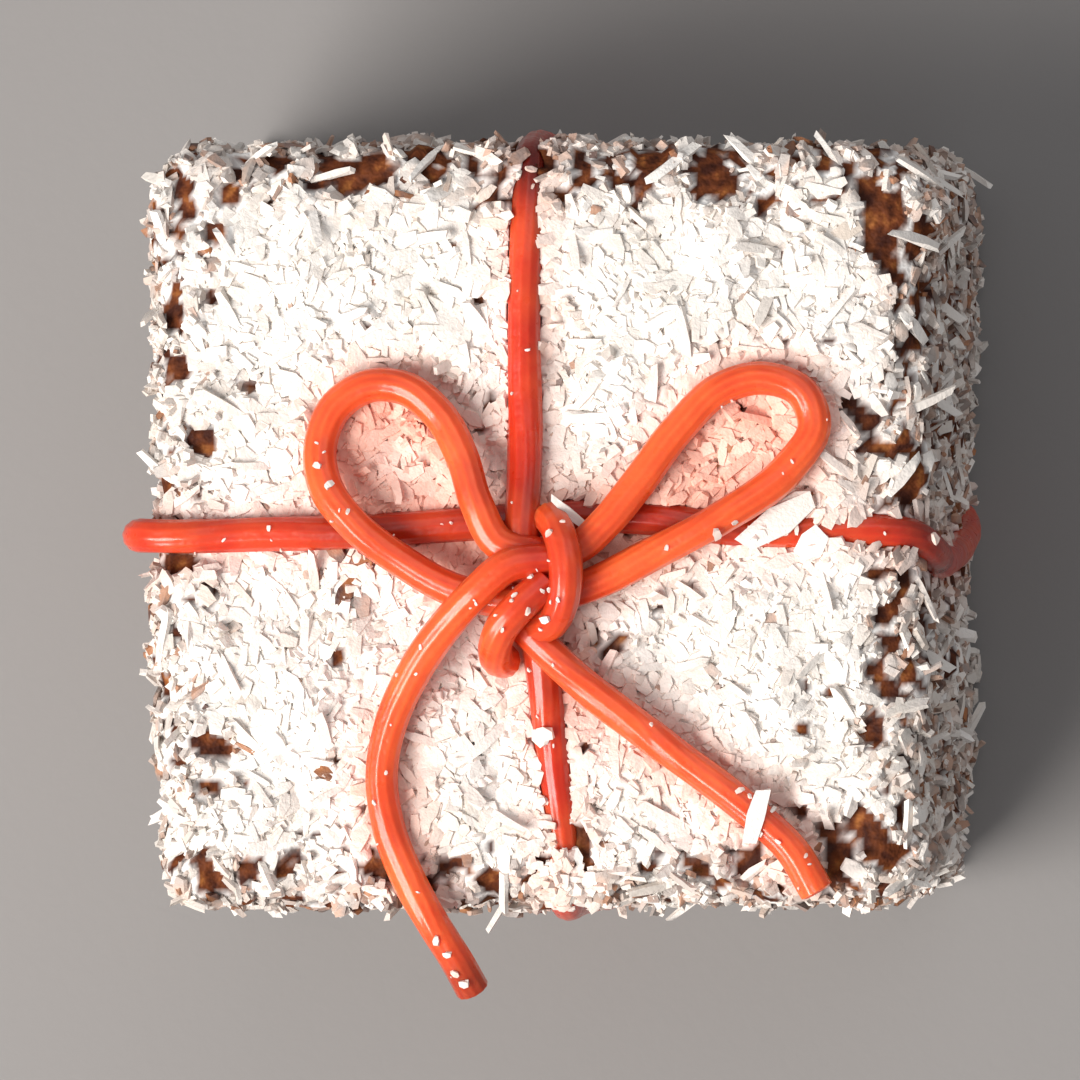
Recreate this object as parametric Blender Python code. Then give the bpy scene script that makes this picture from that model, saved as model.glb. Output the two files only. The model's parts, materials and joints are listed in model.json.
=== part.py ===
"""Lamington cake tied with a red candy lace. Metres, +Z up.

A square block of sponge, dipped in chocolate and rolled in shredded coconut, tied both ways like
a parcel with one soft candy lace that ends in a bow on top. The middle of the cake's base is the
origin and the cake stands on z = 0; +X is its right side and -Y its front.
"""
import itertools
import math
import random

import bmesh
import bpy
from mathutils import Matrix, Vector, noise
from mathutils.bvhtree import BVHTree

MM = 0.001

# The cake, under its coconut, in millimetres
CAKE_WIDTH = 54.2           # along X
CAKE_DEPTH = 52.6           # along Y
CAKE_HEIGHT = 41.4
CORNER_RADIUS = 3.4         # of the upright edges
TOP_EDGE_DROP = 2.2         # how far the top edges round down
BASE_EDGE_RISE = 1.2        # how far the bottom edges round up
FRONT_NARROWER = 1.8        # how much shorter the front side is than the back one
GRID_CELLS = (12, 12, 9)    # faces along X, Y and Z
SAG = 0.75                  # uneven shape of the whole block, 30 mm from hump to hump
RELIEF = 0.55               # lumps of the crumb, about 8 mm apart

# The coconut, in millimetres
SEED = 11
SEAT_CELLS = (9, 9, 7)      # one shred stands by each crossing of this even grid
SEAT_JITTER = 1.6
LOWEST_SEAT = 3.0
SHRED_LENGTH = (2.8, 4.8)
SHRED_WIDTH = (0.8, 1.4)
SHRED_THICKNESS = 0.6
SHRED_TILT = (12, 32)       # degrees by which one end lifts
BASE_CLEARANCE = 0.3        # lowest point of a shred above the table
CAKE_TRIANGLES = 9400       # after the slivers that fusing leaves are thinned out

# The lace, in millimetres
LACE_RADIUS = 1.2
LACE_GAP = 0.3              # left between the lace and the cake
GROOVE_DROP = 1.0           # opens the grooves under the base downwards
LACE_SIDES = 10
LACE_TRIANGLES = 3900
TURN_PER_RING = math.radians(17)
RING_SPACING = 7.0

# The lace's route, point by point along its middle, in millimetres.
# It goes round the cake from back to front, over the other run where they cross on top ...
BACK_FRONT = [
    (-0.7, 0.4, 44.2), (-0.7, 3.4, 43.2), (-0.7, 7.5, 42.5), (-0.8, 14.0, 42.4),
    (-0.7, 20.0, 42.1), (-0.7, 23.8, 41.4), (-0.7, 26.0, 40.0), (-0.6, 26.9, 37.6),
    (-0.2, 27.0, 30.0), (0.4, 26.9, 18.0), (1.0, 26.8, 6.0), (1.2, 26.0, 2.9),
    (1.5, 24.5, 1.7), (2.0, 22.5, 1.5), (4.2, 14.0, 1.5), (6.0, 5.5, 1.5),
    (5.0, -8.0, 1.5), (2.5, -22.5, 1.5), (2.1, -24.5, 1.7), (1.9, -26.0, 2.9),
    (1.8, -26.8, 6.0), (1.6, -27.0, 18.0), (1.6, -27.0, 30.0), (1.6, -26.8, 37.4),
    (1.7, -25.8, 39.6), (1.8, -23.8, 40.6), (1.6, -20.6, 41.1), (1.2, -16.6, 41.6),
    (0.8, -12.6, 42.2), (0.4, -9.0, 43.0), (-0.2, -4.8, 43.8),
]
# ... and from left to right, leaning towards the front on the right side.
LEFT_RIGHT = [
    (-0.7, 0.4, 42.0), (4.0, 0.7, 42.2), (8.8, 0.5, 42.3), (13.0, -0.1, 42.2),
    (20.2, -0.3, 41.8), (24.6, -0.35, 41.2), (27.0, -0.8, 40.0), (28.0, -1.8, 37.8),
    (28.1, -2.5, 33.5), (27.9, -2.4, 25.0), (27.8, -1.4, 12.0), (27.6, -0.2, 5.6),
    (26.9, 0.6, 2.9), (25.3, 0.9, 1.7), (23.2, 1.4, 1.5), (15.0, 3.6, 1.5),
    (6.0, 5.5, 1.5), (-8.0, 3.4, 1.5), (-23.2, 0.7, 1.5), (-25.3, 0.3, 1.7),
    (-26.9, 0.0, 2.9), (-27.7, -0.1, 6.0), (-27.8, -0.4, 18.0), (-27.9, -0.7, 30.0),
    (-28.5, -0.7, 36.4), (-28.95, -0.7, 39.5), (-28.2, -0.7, 41.7), (-26.0, -0.75, 42.5),
    (-22.5, -0.7, 42.4), (-19.5, -0.6, 42.4),
    (-15.2, -0.5, 42.4), (-8.0, -0.1, 42.3), (-4.0, 0.2, 42.1),
]
# The bow: two loops whose limbs meet under the knot ...
LEFT_LOOP = [
    (0.6, -2.0, 45.1), (-2.3, -1.2, 45.1), (-3.9, 1.6, 45.0), (-5.0, 4.9, 44.4),
    (-6.8, 8.0, 43.7), (-9.2, 9.8, 43.4), (-11.8, 10.0, 43.3), (-14.2, 8.5, 43.3),
    (-15.3, 5.6, 43.6), (-14.8, 2.8, 44.4), (-12.8, 0.2, 45.0), (-9.3, -2.5, 44.6),
    (-5.7, -4.5, 44.5), (-2.2, -5.3, 44.7), (0.2, -5.4, 44.9),
]
RIGHT_LOOP = [
    (0.9, -2.0, 45.0), (3.2, -1.6, 45.1), (5.3, 0.2, 45.0), (7.4, 2.8, 44.5),
    (10.4, 6.9, 43.9), (13.5, 9.8, 43.6), (16.5, 10.5, 43.5), (19.2, 9.5, 43.5),
    (20.1, 7.2, 43.6), (18.3, 4.1, 44.0), (13.6, 0.6, 44.9), (8.8, -1.9, 44.7),
    (4.4, -4.1, 44.7), (1.4, -5.1, 44.8), (-0.6, -5.6, 44.6),
]
# ... a strand strapped over them, another that curls under at the lower left ...
KNOT_STRAP = [
    (1.2, 0.6, 44.2), (2.0, -0.2, 45.9), (2.6, -1.8, 46.9), (2.75, -3.6, 47.1),
    (2.4, -5.5, 46.6), (1.5, -6.9, 45.4), (0.2, -7.4, 44.2),
]
KNOT_CURL = [
    (1.2, -4.0, 46.2), (-0.5, -5.6, 46.9), (-1.9, -7.2, 46.6), (-2.5, -8.6, 45.5),
    (-2.5, -9.5, 44.0), (-2.1, -9.6, 42.9),
]
# ... and the two free ends. The left one hangs out over the front edge.
LEFT_TAIL = [
    (1.2, -2.4, 46.0), (-1.4, -2.8, 46.8), (-3.5, -4.5, 46.8), (-6.0, -7.1, 45.9),
    (-8.3, -10.2, 44.7), (-10.1, -13.8, 43.8), (-10.9, -17.6, 43.3), (-10.4, -21.6, 43.2),
    (-8.9, -25.4, 43.2), (-7.1, -28.6, 42.9), (-5.7, -31.0, 42.0), (-4.7, -33.1, 40.8),
]
RIGHT_TAIL = [
    (-0.6, -7.2, 44.1), (1.2, -9.0, 44.3), (3.9, -11.5, 43.9), (8.6, -15.1, 43.4),
    (14.9, -19.8, 43.2), (18.6, -23.2, 43.2), (20.2, -25.9, 43.0),
]
CLOSED_RUNS = [BACK_FRONT, LEFT_RIGHT]
OPEN_RUNS = [LEFT_LOOP, RIGHT_LOOP, KNOT_STRAP, KNOT_CURL, LEFT_TAIL, RIGHT_TAIL]

# Coconut that fell on the lace: middle, heading and tilt in degrees, length and width
LEVEL_HEADING = math.radians(45)    # the heading at which a level shred's own turn starts
LAID_SHREDS = [
    ((17.3, 0.3, 43.3), 32, 4, 5.6, 2.3),
    ((19.9, -1.2, 42.9), 48, -6, 2.4, 1.8),
    ((16.0, -20.5, 44.3), 74, 5, 3.8, 1.3),
    ((2.7, 1.0, 45.2), -43, 10, 3.2, 0.7),
]

# Colours as linear RGB
COCONUT_WHITE = (0.80, 0.71, 0.64, 1.0)
LACE_RED = (0.78, 0.07, 0.025, 1.0)


def clear_scene():
    for thing in list(bpy.data.objects):
        bpy.data.objects.remove(thing)


def make_material(name, colour, roughness):
    material = bpy.data.materials.new(name)
    material.use_nodes = True
    shader = material.node_tree.nodes["Principled BSDF"]
    shader.inputs["Base Color"].default_value = colour
    shader.inputs["Roughness"].default_value = roughness
    shader.inputs["Metallic"].default_value = 0.0
    return material


def add_object(name, mesh, collection=None):
    thing = bpy.data.objects.new(name, mesh)
    (collection or bpy.context.scene.collection).objects.link(thing)
    return thing


def grid_lines(low, high, margin, cells):
    """Grid lines from low to high: close ones round each edge, even ones between."""
    middle = [
        low + margin + (high - low - 2 * margin) * i / (cells - 4) for i in range(cells - 3)
    ]
    return [low, low + 0.45 * margin] + middle + [high - 0.45 * margin, high]


def rounded(point):
    """A point on the plain box, in millimetres, moved onto the box with rounded edges."""
    half_x, half_y = CAKE_WIDTH / 2 - CORNER_RADIUS, CAKE_DEPTH / 2 - CORNER_RADIUS
    x = max(-half_x, min(half_x, point.x))
    y = max(-half_y, min(half_y, point.y))
    z = max(BASE_EDGE_RISE, min(CAKE_HEIGHT - TOP_EDGE_DROP, point.z))
    rise = TOP_EDGE_DROP if point.z > z else BASE_EDGE_RISE
    out = Vector(
        ((point.x - x) / CORNER_RADIUS, (point.y - y) / CORNER_RADIUS, (point.z - z) / rise)
    )
    out.normalize()
    return Vector((x + out.x * CORNER_RADIUS, y + out.y * CORNER_RADIUS, z + out.z * rise))


def unevenness(point):
    """How far the crumb bulges outwards at a point, both in millimetres."""
    broad = SAG * noise.noise(point / 30 + Vector((3.1, 7.7, 1.9)))
    lumps = RELIEF * noise.noise(point / 8 + Vector((9.2, 0.4, 5.6)))
    return broad + lumps


def block_mesh(name):
    """The cake's rounded block as a grid of faces, without its coconut."""
    lines = [
        grid_lines(-CAKE_WIDTH / 2, CAKE_WIDTH / 2, CORNER_RADIUS, GRID_CELLS[0]),
        grid_lines(-CAKE_DEPTH / 2, CAKE_DEPTH / 2, CORNER_RADIUS, GRID_CELLS[1]),
        grid_lines(0.0, CAKE_HEIGHT, TOP_EDGE_DROP, GRID_CELLS[2]),
    ]
    bm = bmesh.new()
    for axis in range(3):
        u, v = [i for i in range(3) if i != axis]
        for end in (0, GRID_CELLS[axis]):
            side = bmesh.ops.create_grid(
                bm, x_segments=GRID_CELLS[u], y_segments=GRID_CELLS[v], size=1
            )
            for vert in side["verts"]:
                steps = [end, end, end]
                steps[u] = round((vert.co.x + 1) / 2 * GRID_CELLS[u])
                steps[v] = round((vert.co.y + 1) / 2 * GRID_CELLS[v])
                vert.co = [lines[i][steps[i]] for i in range(3)]
    bmesh.ops.remove_doubles(bm, verts=bm.verts, dist=0.01)
    for vert in bm.verts:
        vert.co = rounded(vert.co)
    bmesh.ops.recalc_face_normals(bm, faces=bm.faces)
    bm.normal_update()
    bulges = [vert.normal * unevenness(vert.co) for vert in bm.verts]
    for vert, bulge in zip(bm.verts, bulges):
        on_base = vert.co.z < 0.01
        vert.co.x *= 1 + FRONT_NARROWER / CAKE_WIDTH * vert.co.y / CAKE_DEPTH
        vert.co += bulge
        vert.co.z = 0.0 if on_base else max(vert.co.z, 0.4)
    bmesh.ops.triangulate(bm, faces=bm.faces)
    bmesh.ops.recalc_face_normals(bm, faces=bm.faces)
    mesh = bpy.data.meshes.new(name)
    bm.to_mesh(mesh)
    bm.free()
    return mesh


def seats():
    """Evenly spaced places for shreds, over the top and the four sides."""
    columns, rows, levels = SEAT_CELLS
    for i, j, k in itertools.product(range(columns + 1), range(rows + 1), range(levels + 1)):
        if i in (0, columns) or j in (0, rows) or k == levels:
            yield Vector((
                (i / columns - 0.5) * CAKE_WIDTH,
                (j / rows - 0.5) * CAKE_DEPTH,
                LOWEST_SEAT + (CAKE_HEIGHT - LOWEST_SEAT) * k / levels,
            ))


def smooth_path(route, closed, step=0.25):
    """Points about one step apart on a smooth curve through the route, in millimetres."""
    points = [Vector(p) for p in route]
    if closed:
        points = [points[-1]] + points + points[:2]
    else:
        points = [points[0] * 2 - points[1]] + points + [points[-1] * 2 - points[-2]]
    path = []
    for before, start, end, after in zip(points, points[1:], points[2:], points[3:]):
        gaps = [max((b - a).length, 1e-6) for a, b in ((before, start), (start, end), (end, after))]
        leave = (start - before) / gaps[0] - (end - before) / (gaps[0] + gaps[1])
        leave = (leave + (end - start) / gaps[1]) * gaps[1]
        arrive = (end - start) / gaps[1] - (after - start) / (gaps[1] + gaps[2])
        arrive = (arrive + (after - end) / gaps[2]) * gaps[1]
        count = max(2, round(gaps[1] / step))
        for i in range(count):
            t = i / count
            point = start * (2 * t**3 - 3 * t**2 + 1) + leave * (t**3 - 2 * t**2 + t)
            point += end * (3 * t**2 - 2 * t**3) + arrive * (t**3 - t**2)
            path.append(point)
    if not closed:
        path.append(points[-2])
    return path


def ring_points(path):
    """The points of a fine path that a tube needs: closer where it bends."""
    kept, heading, since = [path[0]], path[1] - path[0], 0.0
    for here, following in zip(path[1:], path[2:]):
        since += (here - kept[-1]).length if not since else (following - here).length
        turned = heading.angle(following - here)
        if turned > TURN_PER_RING or since > RING_SPACING:
            kept.append(here)
            heading, since = following - here, 0.0
    if (path[-1] - kept[-1]).length < 0.8:
        kept.pop()
    return kept + [path[-1]]


def tube(name, route, closed, radius, collection):
    """A round strand along a route, as a closed mesh."""
    points = ring_points(smooth_path(route, closed))
    curve = bpy.data.curves.new(name, "CURVE")
    curve.dimensions = "3D"
    curve.bevel_depth = radius * MM
    curve.bevel_resolution = (LACE_SIDES - 4) // 2
    curve.use_fill_caps = not closed
    spline = curve.splines.new("POLY")
    spline.points.add(len(points) - 1)
    for target, point in zip(spline.points, points):
        target.co = (*(point * MM), 1.0)
    spline.use_cyclic_u = closed
    guide = add_object(name + "_curve", curve)
    bpy.context.view_layer.update()
    mesh = bpy.data.meshes.new_from_object(
        guide.evaluated_get(bpy.context.evaluated_depsgraph_get())
    )
    bpy.data.objects.remove(guide)
    weld(mesh)
    return add_object(name, mesh, collection)


def lace_strands(radius, collection):
    """Every strand of the tied lace, at the given radius."""
    strands = [tube("strand", run, True, radius, collection) for run in CLOSED_RUNS]
    strands += [tube("strand", run, False, radius, collection) for run in OPEN_RUNS]
    return strands


def shred(length, width, middle, heading, tilt, up, collection):
    """One shred of coconut, in millimetres: a thin slab that narrows to one end."""
    bm = bmesh.new()
    bmesh.ops.create_cube(bm, size=1)
    for vert in bm.verts:
        vert.co.y *= width if vert.co.x < 0 else 0.6 * width
        vert.co.z *= SHRED_THICKNESS
        vert.co.x *= length
    side = up.orthogonal().normalized()
    frame = Matrix((side, up.cross(side), up)).transposed().to_4x4()
    turn = Matrix.Rotation(heading, 4, "Z") @ Matrix.Rotation(tilt, 4, "Y")
    bmesh.ops.transform(bm, matrix=Matrix.Translation(middle) @ frame @ turn, verts=bm.verts)
    bmesh.ops.scale(bm, vec=(MM, MM, MM), verts=bm.verts)
    bmesh.ops.triangulate(bm, faces=bm.faces)
    mesh = bpy.data.meshes.new("shred")
    bm.to_mesh(mesh)
    bm.free()
    return add_object("shred", mesh, collection)


def clear_of_lace(mesh, lace_points):
    """Whether a shred keeps the gap to every strand of the lace."""
    corners = [vert.co / MM for vert in mesh.vertices]
    middle = sum(corners, Vector()) / len(corners)
    reach = LACE_RADIUS + LACE_GAP + 0.2
    for point in lace_points:
        if (point - middle).length < reach + 4:
            if min((point - corner).length for corner in corners + [middle]) < reach:
                return False
    return True


def scatter_shreds(block, lace_points, collection):
    """Coconut fused to the block: one shred by each seat, where it is clear of the lace."""
    surface = BVHTree.FromPolygons(
        [vert.co.copy() for vert in block.vertices], [face.vertices[:] for face in block.polygons]
    )
    draw = random.Random(SEED)
    for seat in seats():
        jitter = Vector([draw.uniform(-SEAT_JITTER, SEAT_JITTER) for _ in range(3)])
        length, width = draw.uniform(*SHRED_LENGTH), draw.uniform(*SHRED_WIDTH)
        heading, tilt = draw.uniform(0, math.tau), math.radians(draw.uniform(*SHRED_TILT))
        middle, up, _, _ = surface.find_nearest(seat + jitter)
        piece = shred(length, width, middle + up * 0.05, heading, tilt, up, collection)
        lowest = min(vert.co.z for vert in piece.data.vertices) / MM
        if lowest < BASE_CLEARANCE or not clear_of_lace(piece.data, lace_points):
            bpy.data.objects.remove(piece)


def apply_modifiers(target):
    """Turn what the object's modifiers show into its own mesh."""
    bpy.context.view_layer.update()
    result = bpy.data.meshes.new_from_object(
        target.evaluated_get(bpy.context.evaluated_depsgraph_get())
    )
    target.modifiers.clear()
    target.data = result


def boolean(target, tool, operation):
    """Join a collection to an object, or cut it out, and apply the result."""
    modifier = target.modifiers.new(operation.title(), "BOOLEAN")
    modifier.operation = operation
    modifier.operand_type = "COLLECTION"
    modifier.collection = tool
    modifier.solver = "EXACT"
    apply_modifiers(target)
    for thing in list(tool.objects):
        bpy.data.objects.remove(thing)
    bpy.data.collections.remove(tool)


def weld(mesh):
    """Join a tube's end caps to its wall."""
    bm = bmesh.new()
    bm.from_mesh(mesh)
    bmesh.ops.remove_doubles(bm, verts=bm.verts, dist=0.00001)
    bmesh.ops.recalc_face_normals(bm, faces=bm.faces)
    bm.to_mesh(mesh)
    bm.free()


def split_to_triangles(mesh):
    bm = bmesh.new()
    bm.from_mesh(mesh)
    bmesh.ops.triangulate(bm, faces=bm.faces)
    bmesh.ops.recalc_face_normals(bm, faces=bm.faces)
    bm.to_mesh(mesh)
    bm.free()


def thin_out(target, triangles):
    """Fold the slivers that a Boolean leaves into their neighbours, down to a count."""
    split_to_triangles(target.data)
    modifier = target.modifiers.new("Thin_out", "DECIMATE")
    modifier.ratio = min(1.0, triangles / len(target.data.polygons))
    apply_modifiers(target)
    split_to_triangles(target.data)


def keep_outer_skin(mesh):
    """Keep only the largest connected skin: scraps go, and sealed hollows are filled."""
    bm = bmesh.new()
    bm.from_mesh(mesh)
    left, skins = set(bm.faces), []
    while left:
        skin, edge_of = set(), [left.pop()]
        while edge_of:
            face = edge_of.pop()
            skin.add(face)
            for edge in face.edges:
                for neighbour in edge.link_faces:
                    if neighbour in left:
                        left.remove(neighbour)
                        edge_of.append(neighbour)
        skins.append(skin)
    largest = max(skins, key=len)
    bmesh.ops.delete(bm, geom=[f for f in bm.faces if f not in largest], context="FACES")
    bm.to_mesh(mesh)
    bm.free()


def new_collection(name):
    collection = bpy.data.collections.new(name)
    bpy.context.scene.collection.children.link(collection)
    return collection


def build_lace():
    parts = new_collection("lace_parts")
    strands = lace_strands(LACE_RADIUS, parts)
    for middle, heading, tilt, length, width in LAID_SHREDS:
        shred(length, width, Vector(middle), math.radians(heading) - LEVEL_HEADING,
              math.radians(tilt), Vector((0, 0, 1)), parts)
    lace = strands[0]
    parts.objects.unlink(lace)
    bpy.context.scene.collection.objects.link(lace)
    lace.name = "lace"
    boolean(lace, parts, "UNION")
    keep_outer_skin(lace.data)
    thin_out(lace, LACE_TRIANGLES)
    lace.data.materials.clear()
    lace.data.materials.append(make_material("candy_lace", LACE_RED, 0.28))
    lace.data.shade_smooth()
    lace.data.set_sharp_from_angle(angle=math.radians(50))


def build_cake():
    block = block_mesh("cake")
    lace_points = []
    for runs, closed in ((CLOSED_RUNS, True), (OPEN_RUNS, False)):
        for run in runs:
            lace_points += smooth_path(run, closed, step=0.8)
    shreds = new_collection("shreds")
    scatter_shreds(block, lace_points, shreds)
    block.transform(Matrix.Scale(MM, 4))
    cake = add_object("cake", block)
    boolean(cake, shreds, "UNION")
    channel = new_collection("channel")
    lace_strands(LACE_RADIUS + LACE_GAP, channel)
    for run in CLOSED_RUNS:
        under = [(x, y, z - GROOVE_DROP) for x, y, z in run if z < 3]
        tube("groove", under, False, LACE_RADIUS + LACE_GAP, channel)
    boolean(cake, channel, "DIFFERENCE")
    keep_outer_skin(cake.data)
    thin_out(cake, CAKE_TRIANGLES)
    cake.data.materials.clear()
    cake.data.materials.append(make_material("coconut_cake", COCONUT_WHITE, 0.85))


clear_scene()
build_cake()
build_lace()
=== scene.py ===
import itertools
import json
import math
import random

import bpy
import numpy as np
from mathutils import Matrix, Vector, kdtree, noise
from mathutils.bvhtree import BVHTree

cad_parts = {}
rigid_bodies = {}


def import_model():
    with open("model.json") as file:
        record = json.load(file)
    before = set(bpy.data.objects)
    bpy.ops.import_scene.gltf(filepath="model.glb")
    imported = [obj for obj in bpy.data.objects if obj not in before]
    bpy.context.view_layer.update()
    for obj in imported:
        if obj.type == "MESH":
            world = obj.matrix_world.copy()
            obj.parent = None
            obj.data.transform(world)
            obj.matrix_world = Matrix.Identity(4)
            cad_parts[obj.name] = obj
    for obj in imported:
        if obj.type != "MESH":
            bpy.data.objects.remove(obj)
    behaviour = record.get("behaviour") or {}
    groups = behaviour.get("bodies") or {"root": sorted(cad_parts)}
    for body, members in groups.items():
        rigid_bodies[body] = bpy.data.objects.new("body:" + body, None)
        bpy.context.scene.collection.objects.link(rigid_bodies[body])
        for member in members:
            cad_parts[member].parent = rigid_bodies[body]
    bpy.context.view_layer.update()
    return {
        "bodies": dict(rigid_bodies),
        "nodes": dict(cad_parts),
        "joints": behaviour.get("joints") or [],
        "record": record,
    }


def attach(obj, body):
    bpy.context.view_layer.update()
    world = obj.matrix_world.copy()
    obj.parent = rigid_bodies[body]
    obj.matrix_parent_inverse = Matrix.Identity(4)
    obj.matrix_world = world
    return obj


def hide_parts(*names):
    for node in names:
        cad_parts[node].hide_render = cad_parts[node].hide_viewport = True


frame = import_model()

MM = 0.001
noise.seed_set(5)           # without it, noise vectors change with the clock

# The cake under its coconut, as in the part
CAKE_WIDTH = 54.2
CAKE_DEPTH = 52.6
CAKE_HEIGHT = 41.4
CORNER_RADIUS = 3.4
TOP_EDGE_DROP = 2.2
BASE_EDGE_RISE = 1.2
SAG = 0.75
RELIEF = 0.55
FRONT_NARROWER = 1.8
# ... and what only the looks need
CUTS = 99                   # subdivisions of each side of the block
CLUMPS = (0.80, 3.8)        # height and spacing of the clumps of coconut
CRUMBS = (0.16, 1.7)        # height and spacing of the lumps on them
PACKED = 0.5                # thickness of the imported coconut, which the bare spots lack
BASE_LIFT = 0.45            # room under the coat for the coconut that the cake stands on
TOP_FROM = CAKE_HEIGHT - 2.5    # the coat counts as the top above this height ...
BASE_TO = 1.5               # ... and as the base below this one

# The largest shreds, drawn and placed as in the part
SEED = 11
SEAT_CELLS = (9, 9, 7)
SEAT_JITTER = 1.6
LOWEST_SEAT = 3.0
SHRED_LENGTH = (2.8, 4.8)
SHRED_WIDTH = (0.8, 1.4)
SHRED_THICKNESS = 0.6
SHRED_TILT = (12, 32)

# The lace and its route, as in the part
LACE_RADIUS = 1.2
LACE_GAP = 0.3
GROOVE_DROP = 1.0
BACK_FRONT = [
    (-0.7, 0.4, 44.2), (-0.7, 3.4, 43.2), (-0.7, 7.5, 42.5), (-0.8, 14.0, 42.4),
    (-0.7, 20.0, 42.1), (-0.7, 23.8, 41.4), (-0.7, 26.0, 40.0), (-0.6, 26.9, 37.6),
    (-0.2, 27.0, 30.0), (0.4, 26.9, 18.0), (1.0, 26.8, 6.0), (1.2, 26.0, 2.9),
    (1.5, 24.5, 1.7), (2.0, 22.5, 1.5), (4.2, 14.0, 1.5), (6.0, 5.5, 1.5),
    (5.0, -8.0, 1.5), (2.5, -22.5, 1.5), (2.1, -24.5, 1.7), (1.9, -26.0, 2.9),
    (1.8, -26.8, 6.0), (1.6, -27.0, 18.0), (1.6, -27.0, 30.0), (1.6, -26.8, 37.4),
    (1.7, -25.8, 39.6), (1.8, -23.8, 40.6), (1.6, -20.6, 41.1), (1.2, -16.6, 41.6),
    (0.8, -12.6, 42.2), (0.4, -9.0, 43.0), (-0.2, -4.8, 43.8),
]
LEFT_RIGHT = [
    (-0.7, 0.4, 42.0), (4.0, 0.7, 42.2), (8.8, 0.5, 42.3), (13.0, -0.1, 42.2),
    (20.2, -0.3, 41.8), (24.6, -0.35, 41.2), (27.0, -0.8, 40.0), (28.0, -1.8, 37.8),
    (28.1, -2.5, 33.5), (27.9, -2.4, 25.0), (27.8, -1.4, 12.0), (27.6, -0.2, 5.6),
    (26.9, 0.6, 2.9), (25.3, 0.9, 1.7), (23.2, 1.4, 1.5), (15.0, 3.6, 1.5),
    (6.0, 5.5, 1.5), (-8.0, 3.4, 1.5), (-23.2, 0.7, 1.5), (-25.3, 0.3, 1.7),
    (-26.9, 0.0, 2.9), (-27.7, -0.1, 6.0), (-27.8, -0.4, 18.0), (-27.9, -0.7, 30.0),
    (-28.5, -0.7, 36.4), (-28.95, -0.7, 39.5), (-28.2, -0.7, 41.7), (-26.0, -0.75, 42.5),
    (-22.5, -0.7, 42.4), (-19.5, -0.6, 42.4),
    (-15.2, -0.5, 42.4), (-8.0, -0.1, 42.3), (-4.0, 0.2, 42.1),
]
LEFT_LOOP = [
    (0.6, -2.0, 45.1), (-2.3, -1.2, 45.1), (-3.9, 1.6, 45.0), (-5.0, 4.9, 44.4),
    (-6.8, 8.0, 43.7), (-9.2, 9.8, 43.4), (-11.8, 10.0, 43.3), (-14.2, 8.5, 43.3),
    (-15.3, 5.6, 43.6), (-14.8, 2.8, 44.4), (-12.8, 0.2, 45.0), (-9.3, -2.5, 44.6),
    (-5.7, -4.5, 44.5), (-2.2, -5.3, 44.7), (0.2, -5.4, 44.9),
]
RIGHT_LOOP = [
    (0.9, -2.0, 45.0), (3.2, -1.6, 45.1), (5.3, 0.2, 45.0), (7.4, 2.8, 44.5),
    (10.4, 6.9, 43.9), (13.5, 9.8, 43.6), (16.5, 10.5, 43.5), (19.2, 9.5, 43.5),
    (20.1, 7.2, 43.6), (18.3, 4.1, 44.0), (13.6, 0.6, 44.9), (8.8, -1.9, 44.7),
    (4.4, -4.1, 44.7), (1.4, -5.1, 44.8), (-0.6, -5.6, 44.6),
]
KNOT_STRAP = [
    (1.2, 0.6, 44.2), (2.0, -0.2, 45.9), (2.6, -1.8, 46.9), (2.75, -3.6, 47.1),
    (2.4, -5.5, 46.6), (1.5, -6.9, 45.4), (0.2, -7.4, 44.2),
]
KNOT_CURL = [
    (1.2, -4.0, 46.2), (-0.5, -5.6, 46.9), (-1.9, -7.2, 46.6), (-2.5, -8.6, 45.5),
    (-2.5, -9.5, 44.0), (-2.1, -9.6, 42.9),
]
LEFT_TAIL = [
    (1.2, -2.4, 46.0), (-1.4, -2.8, 46.8), (-3.5, -4.5, 46.8), (-6.0, -7.1, 45.9),
    (-8.3, -10.2, 44.7), (-10.1, -13.8, 43.8), (-10.9, -17.6, 43.3), (-10.4, -21.6, 43.2),
    (-8.9, -25.4, 43.2), (-7.1, -28.6, 42.9), (-5.7, -31.0, 42.0), (-4.7, -33.1, 40.8),
]
RIGHT_TAIL = [
    (-0.6, -7.2, 44.1), (1.2, -9.0, 44.3), (3.9, -11.5, 43.9), (8.6, -15.1, 43.4),
    (14.9, -19.8, 43.2), (18.6, -23.2, 43.2), (20.2, -25.9, 43.0),
]
WRAPS = [BACK_FRONT, LEFT_RIGHT]
BOW = [LEFT_LOOP, RIGHT_LOOP, KNOT_STRAP, KNOT_CURL, LEFT_TAIL, RIGHT_TAIL]
# ... and its ridged skin
WRAP_STEP = 0.6             # from ring to ring along the wraps ...
BOW_STEP = 0.45             # ... and along the bow
LACE_SIDES = 60
RIDGES = 12
RIDGE_HEIGHT = 0.022
LACE_UNEVENNESS = 0.05      # share by which its thickness varies along it
LACE_TWIST = 0.8            # radians by which it turns about its middle
RIDGE_ANGLE = math.radians(50)      # its edges stay sharp past this
END_ROUNDING = (0.00030, 0.00016)   # inset and depth of its cut ends, in metres
# ... and its colours: painted shade, how much more like the deep red wraps the knot is than the
# bow, and how far
KNOT = (0.4, -4.2)
KNOT_PAINTED_SHADE = 0.9
KNOT_REACH = (2.5, 6.0)
# ... and the painted shade that darkens it: how much, where and how widely over the back and the
# right edge, and how much and over which distances under the bow and towards the tip of the left
# end
BACK_PAINTED_SHADE = (0.97, 26.2, 3.0)
RIGHT_PAINTED_SHADE = (0.70, 28.4, 2.2)
UNDER_BOW_PAINTED_SHADE = (0.42, 1.8, 4.5)
TIP_PAINTED_SHADE = (0.6, 30.0, 32.5)
PAINTED_SHADE_FROM = 36              # the wraps are only dark above this height
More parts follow.
